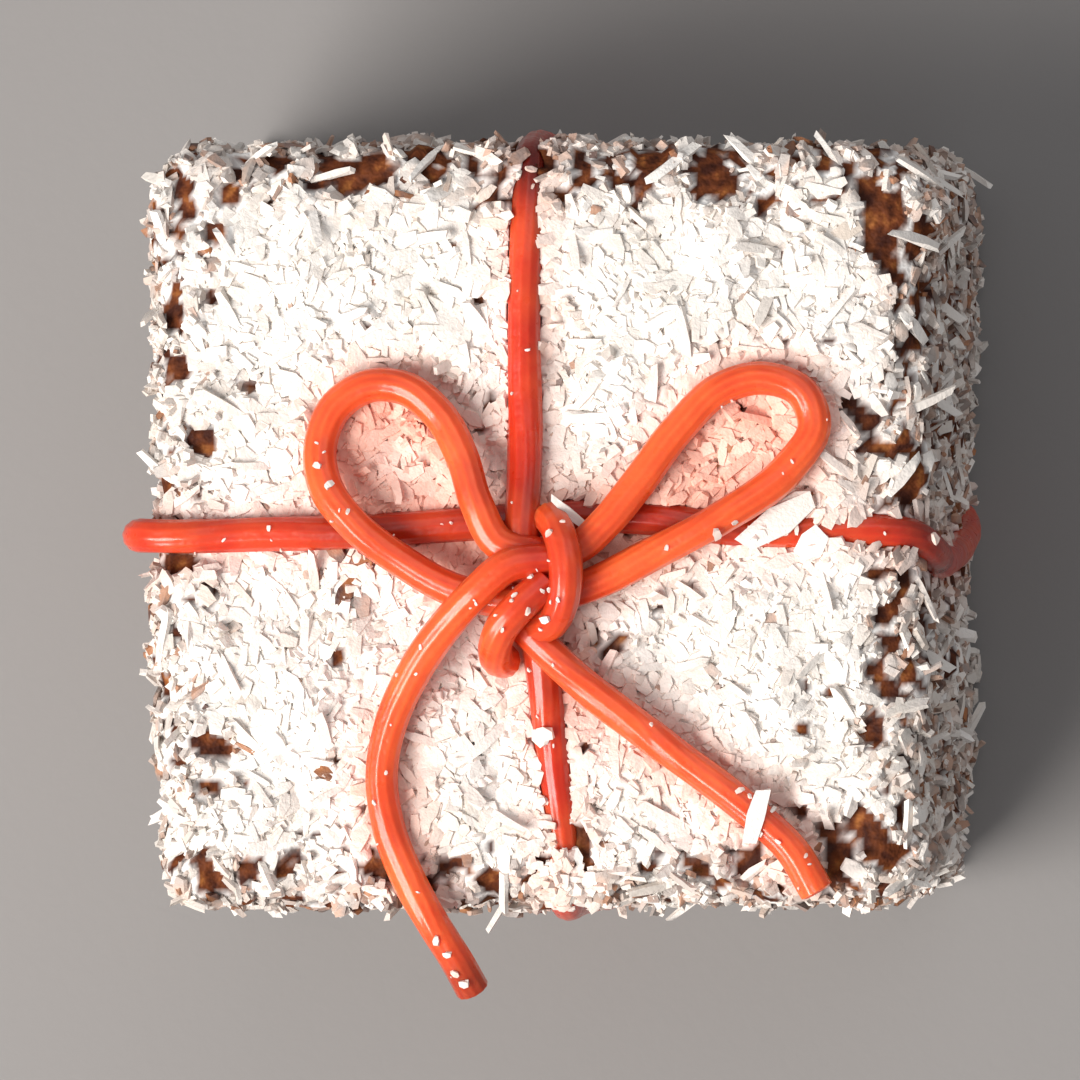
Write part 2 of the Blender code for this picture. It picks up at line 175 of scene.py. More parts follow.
# Room for it in the coat: beside it, and the heights of its run under the cake
GROOVE_ROOM = 0.1
GROOVE_STEP = 0.8
UNDER_RUN_TO = 3
LACE_BENEATH = 1.5

# Coconut that fell on the lace: middle, heading and tilt in degrees, length and width
LEVEL_HEADING = math.radians(45)    # the heading at which a level shred's own turn starts
LAID_SHREDS = [
    ((17.3, 0.3, 43.3), 32, 4, 5.6, 2.3),
    ((19.9, -1.2, 42.9), 48, -6, 2.4, 1.8),
    ((16.0, -20.5, 44.3), 74, 5, 3.8, 1.3),
    ((2.7, 1.0, 45.2), -43, 10, 3.2, 0.7),
]
# ... and the specks on it: place from above and size
LACE_SPECKS = [
    (-15.3, 4.3, 0.6), (-14.4, 2.9, 0.7), (-13.0, 1.0, 0.4), (1.6, -0.5, 0.6), (1.3, -6.6, 0.8),
    (0.1, -6.0, 0.6), (14.8, -18.8, 0.7), (15.5, -19.2, 0.4), (17.6, -22.4, 0.5),
    (16.7, -19.6, 0.8), (16.1, -21.6, 0.9), (15.4, -21.4, 0.7), (17.1, -20.2, 0.6),
    (-6.9, -29.5, 0.7), (-6.2, -30.5, 0.6), (-5.7, -31.9, 0.6), (-5.1, -32.6, 0.7),
    (-11.3, -19.7, 0.4), (-0.4, 25.4, 0.8), (-1.2, 25.0, 0.7), (-0.2, 24.2, 0.4),
    (28.3, -0.9, 0.8), (9.8, -1.5, 0.4), (-19.0, -0.2, 0.4), (0.2, -3.6, 0.5), (1.1, -4.6, 0.4),
    (-0.8, -4.9, 0.5), (2.3, -5.2, 0.4), (-1.7, -7.3, 0.4),
]
LACE_DUST = 52              # grains all over the lace, and their sizes
DUST_SIZES = (0.15, 0.38)
DUST_FROM = 40.5            # they lie above this height
# ... and where more of it is heaped over the wraps: middle from above, spread and count
LACE_HEAPS = [
    ((1.6, -25.4), (1.5, 1.0), 100), ((17.0, -0.8), (1.3, 0.6), 14), ((20.4, -1.3), (0.5, 0.3), 5),
    ((0.3, -15.6), (1.0, 3.4), 12),
]
HEAP_SIZES = (0.4, 1.4)
SPECKS_FROM = 39            # what would fall past the lace and the cake is left out below this

# Where the chocolate shows through the coconut on top: place from above and radius ...
BARE_SPOTS = [
    (-25.4, 24.2, 0.8), (-25.2, 22.6, 0.7), (-22.0, 23.6, 0.9), (-23.1, 21.0, 0.9),
    (-25.9, 21.0, 0.6), (-23.4, 16.4, 0.6), (-26.2, 15.4, 1.0), (-25.9, 11.3, 0.9),
    (-20.7, 10.1, 0.6), (-24.2, 6.0, 1.2), (-27.0, 2.8, 0.8), (-26.3, -2.4, 1.0),
    (-25.2, -2.4, 0.9), (-23.8, -15.6, 1.0), (-22.8, -15.9, 0.9), (-23.1, -18.7, 0.6),
    (-24.2, -24.1, 0.9), (-23.6, -25.6, 0.8), (-20.7, -24.7, 0.8), (-17.3, -23.8, 0.6),
    (-10.8, -24.7, 0.8), (-6.6, -24.6, 0.7), (-3.4, -25.3, 0.9), (0.2, -24.4, 1.0),
    (3.2, -22.2, 1.0), (3.4, -24.4, 1.1), (11.7, -24.3, 0.8), (15.0, -24.3, 0.8),
    (-15.2, 25.8, 0.9), (-13.6, 24.8, 1.3), (-11.6, 25.4, 1.2), (-7.4, 24.9, 0.6),
    (-4.6, 25.8, 0.6), (-2.7, 24.9, 0.5), (3.0, 24.5, 0.4), (1.6, 23.5, 0.4), (7.9, 26.0, 1.0),
    (6.5, 24.6, 0.5), (12.3, 25.4, 1.2), (13.3, 24.4, 1.3), (16.2, 22.4, 0.5),
    (23.6, 23.8, 1.0), (24.9, 22.2, 1.6), (24.6, 20.3, 1.3), (25.0, 18.8, 0.9),
    (23.6, 7.6, 1.0), (22.7, 8.6, 0.8), (24.1, 5.6, 0.8), (24.6, -6.5, 0.8),
    (25.2, -8.6, 0.7), (24.3, -10.2, 0.8), (25.3, -11.6, 0.9), (24.1, -14.6, 1.0),
    (18.9, -20.4, 0.6), (20.9, -21.6, 0.9), (23.2, -21.0, 1.2), (24.2, -22.1, 1.2),
    (21.9, -23.3, 1.0), (25.0, -23.8, 0.8), (4.2, -8.0, 0.5), (6.2, -7.9, 0.5),
    (5.5, -8.6, 0.5), (4.8, -9.2, 0.5), (9.0, -5.9, 0.4), (-4.0, 16.0, 0.4),
]
SPOT_RAGGEDNESS = (0.4, 1.3)    # how far, and at what spacing, their outlines waver
SPOT_SOFTNESS = 0.12
# ... and the small holes everywhere: spacing, level of the noise over which they open, and how
# much lower that is where they cluster, along each edge of the top, and further down the sides
HOLE_SPACING = 1.25
HOLE_LEVEL = 0.61
HOLE_SOFTNESS = 0.08
BARE_RIM = 0.04             # how much wider the bare places are under the loose coconut
CLUSTERING = (0.16, 7.5)
EDGE_BAND = 5.5
LEFT_WEAR, RIGHT_WEAR, FRONT_WEAR, BACK_WEAR = 0.41, 0.53, 0.48, 0.51
SIDE_WEAR = 1.12            # times as much
BASE_WEAR = 0.35
# Share of the coconut that is brown with chocolate: everywhere, in clusters, and by the wear,
# and how far the rest of it is browned where it is worn
STAINED = 0.004
STAINED_CLUSTERS = (0.16, 0.18, 4.0)    # how much, over what level of the noise, spacing
STAINED_BY_WEAR = 1.3
TANNED = 1.3

# Kinds of coconut: sizes are ranges of length, width and thickness, lift is how high the middles
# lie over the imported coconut, tilt is in degrees, top_share is the density on top, and stained is
# how readily they are brown
COCONUT_KINDS = {
    "coconut_grains": dict(
        shape="crumb", count=20000, sizes=((0.4, 0.8), (0.35, 0.7), (0.25, 0.5)),
        lift=(-0.1, 0.12), tilt=17, top_share=1.2, stained=1.0, seed=100),
    "coconut_crumbs": dict(
        shape="crumb", count=25000, sizes=((0.8, 1.6), (0.6, 1.1), (0.4, 0.6)),
        lift=(-0.18, 0.06), tilt=13, top_share=0.8, stained=0.8, seed=101),
    "coconut_granules": dict(
        shape="granule", count=17000, sizes=((1.0, 2.0), (0.75, 1.4), (0.5, 0.8)),
        lift=(-0.2, 0.1), tilt=12, top_share=1.0, stained=0.7, seed=102),
    "coconut_flakes": dict(
        shape="flake", count=18000, sizes=((1.2, 2.5), (0.6, 1.25), (0.26, 0.42)),
        lift=(-0.1, 0.2), tilt=10, top_share=0.9, stained=0.5, seed=103),
    "coconut_shreds": dict(
        shape="shred", count=2800, sizes=((1.6, 2.8), (0.34, 0.6), (0.22, 0.34)),
        lift=(0.0, 0.28), tilt=8, top_share=0.45, stained=0.3, seed=104),
}
UNDER_SHARE = 0.5           # density under the cake
LOWEST_FLAKE = 0.02         # lowest point of the coconut that the cake stands on
EDGE_SLANT = 0.93           # a normal with no part over this lies on a rounded edge
FLAKE_END = 0.33            # share of its size at which a flake's ends are tried for bare spots
LACE_CLEARANCE = 0.1        # share of its length by which a flake's middle clears the lace
STRIP_CLEARANCE = 0.45
BARE_SEAT = 0.02            # how much wider than the holes the places without flakes are ...
TANNED_RIM = 0.05           # ... and those with browned ones
DEEPEST_TAN = 0.8
PALENESS = (2.2, 1.2)       # spread of the shades from cream to white
FLAKE_CREASE = math.radians(46)     # its edges stay sharp past this
EDGE_TILT = 3.0             # how much more the coconut stands up along the edges
EDGE_FLUFF = (1.1, 3.0)     # how far, and at what spacing, it stands out there in tufts
VARIANTS = 10               # shapes of each kind

# How far the lace reddens the coconut, partly a real stain and partly painted red bounce light and
# shade: beside it, and inside the two loops of the bow
BLUSH_REACH = 2.6
BLUSH_LIMIT = 6.0           # no blush from further away than this
BLUSH_BESIDE = 0.085
BLUSH_BY_WRAPS, BLUSH_BY_BOW = 0.5, 1.0
LOOP_BLUSHES = ((LEFT_LOOP, 0.42), (RIGHT_LOOP, 0.52))
LOOP_BLUSH_FROM = 38        # only above this height
MOST_BLUSH = 0.75

# The camera hangs over the middle of the tray, to the right of this cake
CAMERA_PLACE = Vector((102, 2, 907))
CAMERA_AIM = Vector((0.3, -1.0, 42))
VIEW_WIDTH = 77.0


# Places and paths

def rounded(point):
    """A point on the plain box moved onto the box with rounded edges."""
    half_x, half_y = CAKE_WIDTH / 2 - CORNER_RADIUS, CAKE_DEPTH / 2 - CORNER_RADIUS
    x = max(-half_x, min(half_x, point.x))
    y = max(-half_y, min(half_y, point.y))
    z = max(BASE_EDGE_RISE, min(CAKE_HEIGHT - TOP_EDGE_DROP, point.z))
    rise = TOP_EDGE_DROP if point.z > z else BASE_EDGE_RISE
    out = Vector(
        ((point.x - x) / CORNER_RADIUS, (point.y - y) / CORNER_RADIUS, (point.z - z) / rise)
    )
    out.normalize()
    return Vector((x + out.x * CORNER_RADIUS, y + out.y * CORNER_RADIUS, z + out.z * rise))


def unevenness(point):
    """How far the crumb bulges outwards at a point."""
    broad = SAG * noise.noise(point / 30 + Vector((3.1, 7.7, 1.9)))
    lumps = RELIEF * noise.noise(point / 8 + Vector((9.2, 0.4, 5.6)))
    return broad + lumps


def smooth_path(route, closed, step=0.25):
    """Points about one step apart on a smooth curve through the route."""
    points = [Vector(p) for p in route]
    if closed:
        points = [points[-1]] + points + points[:2]
    else:
        points = [points[0] * 2 - points[1]] + points + [points[-1] * 2 - points[-2]]
    path = []
    for before, start, end, after in zip(points, points[1:], points[2:], points[3:]):
        gaps = [max((b - a).length, 1e-6) for a, b in ((before, start), (start, end), (end, after))]
        leave = (start - before) / gaps[0] - (end - before) / (gaps[0] + gaps[1])
        leave = (leave + (end - start) / gaps[1]) * gaps[1]
        arrive = (end - start) / gaps[1] - (after - start) / (gaps[1] + gaps[2])
        arrive = (arrive + (after - end) / gaps[2]) * gaps[1]
        count = max(2, round(gaps[1] / step))
        for i in range(count):
            t = i / count
            point = start * (2 * t**3 - 3 * t**2 + 1) + leave * (t**3 - 2 * t**2 + t)
            point += end * (3 * t**2 - 2 * t**3) + arrive * (t**3 - t**2)
            path.append(point)
    if not closed:
        path.append(points[-2])
    return path


def path_tree(runs, closed, step):
    """A search tree over points along the middle of the given strands."""
    points = [p for run in runs for p in smooth_path(run, closed, step)]
    tree = kdtree.KDTree(len(points))
    for i, point in enumerate(points):
        tree.insert(point, i)
    tree.balance()
    return tree


def fade(value, low, high):
    """0 below low, 1 above high and a straight slope between."""
    return np.clip((value - low) / (high - low), 0.0, 1.0)


def noise_at(places, spacing, shift):
    """Smooth noise from about -1 to 1 at each place."""
    return np.array([noise.noise(Vector(p) / spacing + Vector(shift)) for p in places])


def wear_at(places):
    """How worn the coconut is at each place: along the edges of the top, and on the sides."""
    x, y, z = places.T
    bands = ((x + CAKE_WIDTH / 2, LEFT_WEAR), (CAKE_WIDTH / 2 - x, RIGHT_WEAR),
             (y + CAKE_DEPTH / 2, FRONT_WEAR), (CAKE_DEPTH / 2 - y, BACK_WEAR))
    wear = np.maximum.reduce([amount * (1 - fade(gap, 0, EDGE_BAND)) for gap, amount in bands])
    wear *= np.where(z < TOP_FROM, SIDE_WEAR, 1)
    return np.where(z < BASE_TO, BASE_WEAR, wear)


def bareness(places, widened=0.0):
    """From 0 to 1, how bare of coconut the coat is at each place."""
    x, y, z = places.T
    reach, spacing = SPOT_RAGGEDNESS
    waver = np.array([noise.noise_vector(Vector(p) / spacing) for p in places]) * reach
    bare = np.zeros(len(places))
    for spot_x, spot_y, radius in BARE_SPOTS:
        away = np.hypot(x + waver[:, 0] - spot_x, y + waver[:, 1] - spot_y)
        inside = fade(radius + widened * 3 - away, -SPOT_SOFTNESS, SPOT_SOFTNESS)
        bare = np.maximum(bare, inside)
    bare *= z > TOP_FROM
    depth, spacing = CLUSTERING
    level = HOLE_LEVEL - wear_at(places) - widened
    level -= depth * np.maximum(noise_at(places, spacing, (1, 6, 3)), 0)
    fine = noise_at(places, HOLE_SPACING, (5, 2, 8))
    return np.maximum(bare, fade(fine - level, 0, HOLE_SOFTNESS))


def stained_share(places):
    """The share of coconut pieces that are brown with chocolate at each place."""
    amount, level, spacing = STAINED_CLUSTERS
    clusters = amount * np.maximum(noise_at(places, spacing, (4, 9, 2)) - level, 0)
    return STAINED + clusters + STAINED_BY_WEAR * wear_at(places) ** 2


def inside_loop(places, route):
    """Which places lie inside a loop of the bow, seen from above."""
    outline = smooth_path(route, False, 1.0)
    inside = np.zeros(len(places), bool)
    for a, b in zip(outline, outline[1:] + outline[:1]):
        crosses = (a.y > places[:, 1]) != (b.y > places[:, 1])
        at_x = a.x + (places[:, 1] - a.y) * (b.x - a.x) / ((b.y - a.y) or 1e-9)
        inside ^= crosses & (places[:, 0] < at_x)
    return inside


def red_stain_and_bounce_at(places, wrap_tree, bow_tree):
    """How strongly the lace colours the coconut around it: partly a real stain, partly painted red
    bounce light and shade.
    """
    red_stains_and_bounces = np.zeros(len(places))
    for i, place in enumerate(places):
        for tree, weight in ((wrap_tree, BLUSH_BY_WRAPS), (bow_tree, BLUSH_BY_BOW)):
            for _, _, distance in tree.find_range(place, BLUSH_LIMIT):
                red_stains_and_bounces[i] += weight * BLUSH_BESIDE * math.exp(-((distance / BLUSH_REACH) ** 2))
    for route, amount in LOOP_BLUSHES:
        red_stains_and_bounces += amount * inside_loop(places, route) * (places[:, 2] > LOOP_BLUSH_FROM)
    return np.minimum(red_stains_and_bounces, MOST_BLUSH)


# Shader building

def shader_group(name, inputs, outputs):
    """An empty shader node group with its two ends."""
    group = bpy.data.node_groups.new(name, "ShaderNodeTree")
    for in_out, sockets in (("INPUT", inputs), ("OUTPUT", outputs)):
        for socket, kind in sockets.items():
            group.interface.new_socket(socket, in_out=in_out, socket_type="NodeSocket" + kind)
    given = group.nodes.new("NodeGroupInput").outputs
    return group, given, group.nodes.new("NodeGroupOutput").inputs


def grain_group():
    """Fine lumps of a surface, as a mask and as a bumped normal."""
    group, given, result = shader_group(
        "grain", {"Place": "Vector", "Per metre": "Float", "Depth": "Float"},
        {"Mask": "Float", "Normal": "Vector"},
    )
    lumps, bump = group.nodes.new("ShaderNodeTexNoise"), group.nodes.new("ShaderNodeBump")
    lumps.inputs["Detail"].default_value = 2.0
    lumps.inputs["Roughness"].default_value = 0.65
    for source, target in (
        (given["Place"], lumps.inputs["Vector"]), (given["Per metre"], lumps.inputs["Scale"]),
        (lumps.outputs["Fac"], bump.inputs["Height"]), (given["Depth"], bump.inputs["Distance"]),
        (lumps.outputs["Fac"], result["Mask"]), (bump.outputs["Normal"], result["Normal"]),
    ):
        group.links.new(source, target)
    return group


def drift_group():
    """A colour that drifts towards another in soft patches."""
    group, given, result = shader_group(
        "drift", {"Place": "Vector", "Per metre": "Float", "Colour": "Color", "Towards": "Color"},
        {"Colour": "Color"},
    )
    patches, ramp = group.nodes.new("ShaderNodeTexNoise"), group.nodes.new("ShaderNodeMapRange")
    patches.inputs["Detail"].default_value = 2.0
    ramp.inputs["From Min"].default_value = 0.35
    ramp.inputs["From Max"].default_value = 0.65
    blend = group.nodes.new("ShaderNodeMix")
    blend.data_type = "RGBA"
    for source, target in (
        (given["Place"], patches.inputs["Vector"]), (given["Per metre"], patches.inputs["Scale"]),
        (patches.outputs["Fac"], ramp.inputs["Value"]), (ramp.outputs["Result"], blend.inputs[0]),
        (given["Colour"], blend.inputs[6]), (given["Towards"], blend.inputs[7]),
        (blend.outputs[2], result["Colour"]),
    ):
        group.links.new(source, target)
    return group


GRAIN = grain_group()
DRIFT = drift_group()


class Finish:
    """A material's node tree, with short ways to add and join nodes."""

    def __init__(self, name):
        self.material = bpy.data.materials.new(name)
        self.material.use_nodes = True
        self.tree = self.material.node_tree
        self.shader = self.tree.nodes["Principled BSDF"]
        self.place = self.node("ShaderNodeTexCoord").outputs["Object"]

    def node(self, kind, **settings):
        node = self.tree.nodes.new(kind)
        for key, value in settings.items():
            setattr(node, key, value)
        return node

    def put(self, value, socket):
        """Join a socket to another one's output, or give it a number or colour."""
        if isinstance(value, bpy.types.NodeSocket):
            self.tree.links.new(value, socket)
        else:
            socket.default_value = (*value, 1.0) if isinstance(value, tuple) else value

    def attribute(self, name):
        return self.node("ShaderNodeAttribute", attribute_name=name).outputs["Fac"]

    def noise(self, per_metre, detail):
        node = self.node("ShaderNodeTexNoise")
        self.put(self.place, node.inputs["Vector"])
        self.put(per_metre, node.inputs["Scale"])
        self.put(detail, node.inputs["Detail"])
        return node.outputs["Fac"]

    def ramp(self, value, *stops):
        node = self.node("ShaderNodeValToRGB")
        self.put(value, node.inputs["Fac"])
        elements = node.color_ramp.elements
        while len(elements) < len(stops):
            elements.new(0.5)
        for element, (position, colour) in zip(elements, stops):
            element.position = position
            element.color = (*colour, 1.0)
        return node.outputs["Color"]

    def mix(self, factor, first, second, blend_type="MIX"):
        node = self.node("ShaderNodeMix", data_type="RGBA", blend_type=blend_type)
        for index, value in ((0, factor), (6, first), (7, second)):
            self.put(value, node.inputs[index])
        return node.outputs[2]

    def drift(self, per_metre, colour, towards):
        node = self.node("ShaderNodeGroup", node_tree=DRIFT)
        for name, value in (("Place", self.place), ("Per metre", per_metre),
                            ("Colour", colour), ("Towards", towards)):
            self.put(value, node.inputs[name])
        return node.outputs["Colour"]

    def grain(self, per_metre, depth):
        """Bump the surface, and give back the same grain as a mask."""
        node = self.node("ShaderNodeGroup", node_tree=GRAIN)
        for name, value in (("Place", self.place), ("Per metre", per_metre), ("Depth", depth)):
            self.put(value, node.inputs[name])
        self.put(node.outputs["Normal"], self.shader.inputs["Normal"])
        return node.outputs["Mask"]

    def set(self, **values):
        for key, value in values.items():
            self.put(value, self.shader.inputs[key.replace("_", " ")])


def chocolate_finish():
    """Chocolate where the block is bare, packed coconut where it isn't."""
    m = Finish("chocolate_coat")
    chocolate = m.ramp(
        m.noise(800.0, 3.0),
        (0.38, (0.040, 0.009, 0.004)), (0.58, (0.13, 0.033, 0.009)), (0.78, (0.34, 0.12, 0.030)),
    )
    packed = m.drift(1000.0, (0.93, 0.90, 0.87), (0.86, 0.82, 0.78))
    # packed coconut reddened by the lace: partly a real stain, partly painted red bounce light and
    # shade
    packed_red_stained_and_bounced = m.mix(m.attribute("red_stain_and_bounce"), packed, (0.90, 0.42, 0.29))
    m.set(Base_Color=m.mix(m.attribute("bare"), packed_red_stained_and_bounced, chocolate), Roughness=0.7,
          Specular_IOR_Level=0.15)
    m.grain(1100.0, 0.0003)
    return m.material


def coconut_finish():
    m = Finish("coconut")
    white = m.ramp(
        m.attribute("shade"),
        (0.0, (0.68, 0.59, 0.51)), (0.2, (0.83, 0.77, 0.71)), (1.0, (0.895, 0.855, 0.81)),
    )
    patchy = m.drift(170.0, (0.80, 0.78, 0.75), (1.0, 1.0, 1.0))
    drifted = m.mix(1.0, white, m.drift(520.0, (0.90, 0.87, 0.85), patchy), "MULTIPLY")
    # coconut reddened by the lace: partly a real stain, partly painted red bounce light and shade
    red_stained_and_bounced = m.mix(m.attribute("red_stain_and_bounce"), drifted, (0.90, 0.42, 0.29))
    brown = m.ramp(
        m.noise(700.0, 1.0), (0.38, (0.07, 0.018, 0.008)), (0.62, (0.36, 0.13, 0.04))
    )
    m.set(Base_Color=m.mix(m.attribute("stain"), red_stained_and_bounced, brown), Roughness=0.5)
    m.grain(2600.0, 0.00010)
    return m.material


def lace_finish():
    m = Finish("candy_lace")
    # the bow attribute brings the bow's orange; near the knot it is lowered, as painted shade
    red = m.mix(m.attribute("bow"), (0.60, 0.040, 0.013), (0.94, 0.145, 0.036))
    # painted shade in the grooves between the ridges, so the ridges read as pale streaks
    ridged = m.mix(m.attribute("groove_shade"), m.mix(0.35, red, (0.42, 0.016, 0.006)), red)
    drifted = m.mix(0.35, ridged, m.drift(260.0, (0.76, 0.13, 0.03), (0.46, 0.020, 0.006)))
    # painted shade: dark maroon over the back and right edges, under the bow and at the left end's
    # tip
    painted_shaded = m.mix(m.attribute("painted_shade"), drifted, (0.13, 0.007, 0.005))
    worn = m.ramp(m.grain(800.0, 0.00012), (0.3, (0.26,) * 3), (0.7, (0.44,) * 3))
    m.set(Base_Color=painted_shaded, Roughness=worn, Subsurface_Weight=0.85, Subsurface_Scale=0.0018,
          Coat_Weight=0.5, Coat_Roughness=0.14, Specular_IOR_Level=0.2)
    m.shader.inputs["Subsurface Radius"].default_value = (1.0, 0.32, 0.16)
    return m.material


def floor_finish():
    m = Finish("floor_paint")
    m.set(Base_Color=m.drift(9.0, (0.242, 0.228, 0.220), (0.231, 0.217, 0.209)), Roughness=0.8)
    m.grain(900.0, 0.00002)
    return m.material


# Modelling

def deselect():
    bpy.ops.object.select_all(action="DESELECT")


def activate(thing):
    deselect()
    thing.select_set(True)
    bpy.context.view_layer.objects.active = thing


def finish_piece(piece, name, material, node):
    piece.name = name
    piece.data.name = name
    piece.data.materials.clear()
    piece.data.materials.append(material)
    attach(piece, "root")
    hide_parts(node)


def boolean(target, tools, operation):
    """Join objects to a target, or cut them out of it, and apply the result."""
    group = bpy.data.collections.new(operation)
    bpy.context.scene.collection.children.link(group)
    for tool in tools:
        group.objects.link(tool)
    modifier = target.modifiers.new(operation.title(), "BOOLEAN")
    modifier.operation = operation
    modifier.operand_type = "COLLECTION"
    modifier.collection = group
    modifier.solver = "MANIFOLD"
    activate(target)
    bpy.ops.object.modifier_apply(modifier=modifier.name)
    for tool in tools:
        bpy.data.objects.remove(tool)
    bpy.data.collections.remove(group)


def mark(mesh, name, values):
    """Give each point of a mesh a value that its material reads."""
    attribute = mesh.attributes.new(name, "FLOAT", "POINT")
    attribute.data.foreach_set("value", np.asarray(values, np.float32))


def corners_of(mesh):
    """The mesh's points as an array, in millimetres."""
    corners = np.empty(len(mesh.vertices) * 3, np.float32)
    mesh.vertices.foreach_get("co", corners)
    return corners.reshape(-1, 3).astype(float) / MM


def tube(name, route, closed, step, radius=None, profile=None):
    """A strand along a route as a closed mesh: round, or with a profile's ridges."""
    points = smooth_path(route, closed, step)
    curve = bpy.data.curves.new(name, "CURVE")
    curve.dimensions = "3D"
    if profile:
        curve.bevel_mode = "OBJECT"
        curve.bevel_object = profile
    else:
        curve.bevel_depth = radius * MM
        curve.bevel_resolution = 6
    curve.use_fill_caps = not closed
    spline = curve.splines.new("POLY")
    spline.points.add(len(points) - 1)
    for target, point in zip(spline.points, points):
        target.co = (*(point * MM), 1.0)
        if profile:
            target.radius = 1 + LACE_UNEVENNESS * noise.noise(point / 5)
            target.tilt = LACE_TWIST * noise.noise(point / 11)
    spline.use_cyclic_u = closed
    strand = bpy.data.objects.new(name, curve)
    bpy.context.scene.collection.objects.link(strand)
    activate(strand)
    bpy.ops.object.convert(target="MESH")
    bpy.ops.object.mode_set(mode="EDIT")
    bpy.ops.mesh.select_all(action="SELECT")
    bpy.ops.mesh.remove_doubles(threshold=0.00001)
    bpy.ops.mesh.normals_make_consistent(inside=False)
    bpy.ops.object.mode_set(mode="OBJECT")
    return strand


def coated_block():
    """The coated block: rounded and uneven, as it is before the lace presses in."""
    deselect()
    bpy.ops.mesh.primitive_cube_add(size=1, location=(0, 0, 0))
    block = bpy.context.object
    bpy.ops.object.mode_set(mode="EDIT")
    bpy.ops.mesh.subdivide(number_cuts=CUTS)
    bpy.ops.object.mode_set(mode="OBJECT")
    mesh = block.data
    size = Vector((CAKE_WIDTH, CAKE_DEPTH, CAKE_HEIGHT))
    for vert in mesh.vertices:
        vert.co = rounded((vert.co + Vector((0, 0, 0.5))) * size)
    mesh.update()
    normals = [vert.normal.copy() for vert in mesh.vertices]
    packed = PACKED * (1 - bareness(np.array([vert.co for vert in mesh.vertices]), BARE_RIM))
    for vert, normal, cover in zip(mesh.vertices, normals, packed):
        place = vert.co.copy()
        vert.co.x *= 1 + FRONT_NARROWER / CAKE_WIDTH * place.y / CAKE_DEPTH
        bulge = unevenness(place) + cover
        for height, spacing in (CLUMPS, CRUMBS):
            bulge += height * noise.noise(place / spacing)
        vert.co += normal * bulge
        vert.co.z = max(vert.co.z, BASE_LIFT)
        vert.co *= MM
    return block


def press_in_grooves(block, trees):
    """Cut the lace's grooves, one after the other, and mark the coat for its material."""
    beside, beneath = LACE_RADIUS + GROOVE_ROOM, LACE_RADIUS + LACE_GAP
    grooves = [tube("groove", run, True, GROOVE_STEP, radius=beside) for run in WRAPS]
    for run in WRAPS:
        under = [(x, y, z - GROOVE_DROP) for x, y, z in run if z < UNDER_RUN_TO]
        grooves.append(tube("groove", under, False, GROOVE_STEP, radius=beneath))
    for groove in grooves:
        boolean(block, [groove], "DIFFERENCE")
    places = corners_of(block.data)
    mark(block.data, "bare", bareness(places, BARE_RIM))
    mark(block.data, "red_stain_and_bounce", red_stain_and_bounce_at(places, *trees))
    activate(block)
    bpy.ops.object.shade_smooth()


# The lace

def ridged_profile():
    """The lace's cross-section: a circle with shallow ridges."""
    curve = bpy.data.curves.new("profile", "CURVE")
    spline = curve.splines.new("POLY")
    spline.points.add(LACE_SIDES - 1)
    for i, point in enumerate(spline.points):
        angle = math.tau * i / LACE_SIDES
        radius = (LACE_RADIUS + RIDGE_HEIGHT * math.cos(RIDGES * angle)) * MM
        point.co = (radius * math.cos(angle), radius * math.sin(angle), 0, 1)
    spline.use_cyclic_u = True
    profile = bpy.data.objects.new("profile", curve)
    bpy.context.scene.collection.objects.link(profile)
    return profile


def round_end(strand, end, towards):
    """Round off one cut end of a strand."""
    activate(strand)
    axis = (end - towards).normalized()
    bpy.ops.object.mode_set(mode="EDIT")
    bpy.ops.mesh.select_all(action="DESELECT")
    bpy.ops.mesh.select_mode(type="FACE")
    bpy.ops.object.mode_set(mode="OBJECT")
    for face in strand.data.polygons:
        offset = face.center / MM - end
        face.select = offset.length < LACE_RADIUS and abs(offset.dot(axis)) < 0.02
    bpy.ops.object.mode_set(mode="EDIT")
    thickness, depth = END_ROUNDING
    bpy.ops.mesh.inset(thickness=thickness, depth=depth)
    bpy.ops.object.mode_set(mode="OBJECT")


def painted_shade_at(places, bow_reach, is_bow):
    """Painted shade on the lace: where it is dark over the back and right edges, under the bow, and
    by its tip.
    """
    x, y, z = places.T
    edges = [amount * np.exp(-(((along - middle) / spread_out) ** 2))
             for along, (amount, middle, spread_out) in ((y, BACK_PAINTED_SHADE), (x, RIGHT_PAINTED_SHADE))]
    amount, near, far = UNDER_BOW_PAINTED_SHADE
    beneath = amount * (1 - fade(bow_reach, near, far))
    amount, near, far = TIP_PAINTED_SHADE
    tip = amount * fade(-y, near, far) * is_bow
    wraps = np.maximum.reduce([*edges, beneath]) * (1 - is_bow) * (z > PAINTED_SHADE_FROM)
    return np.maximum(wraps, tip)


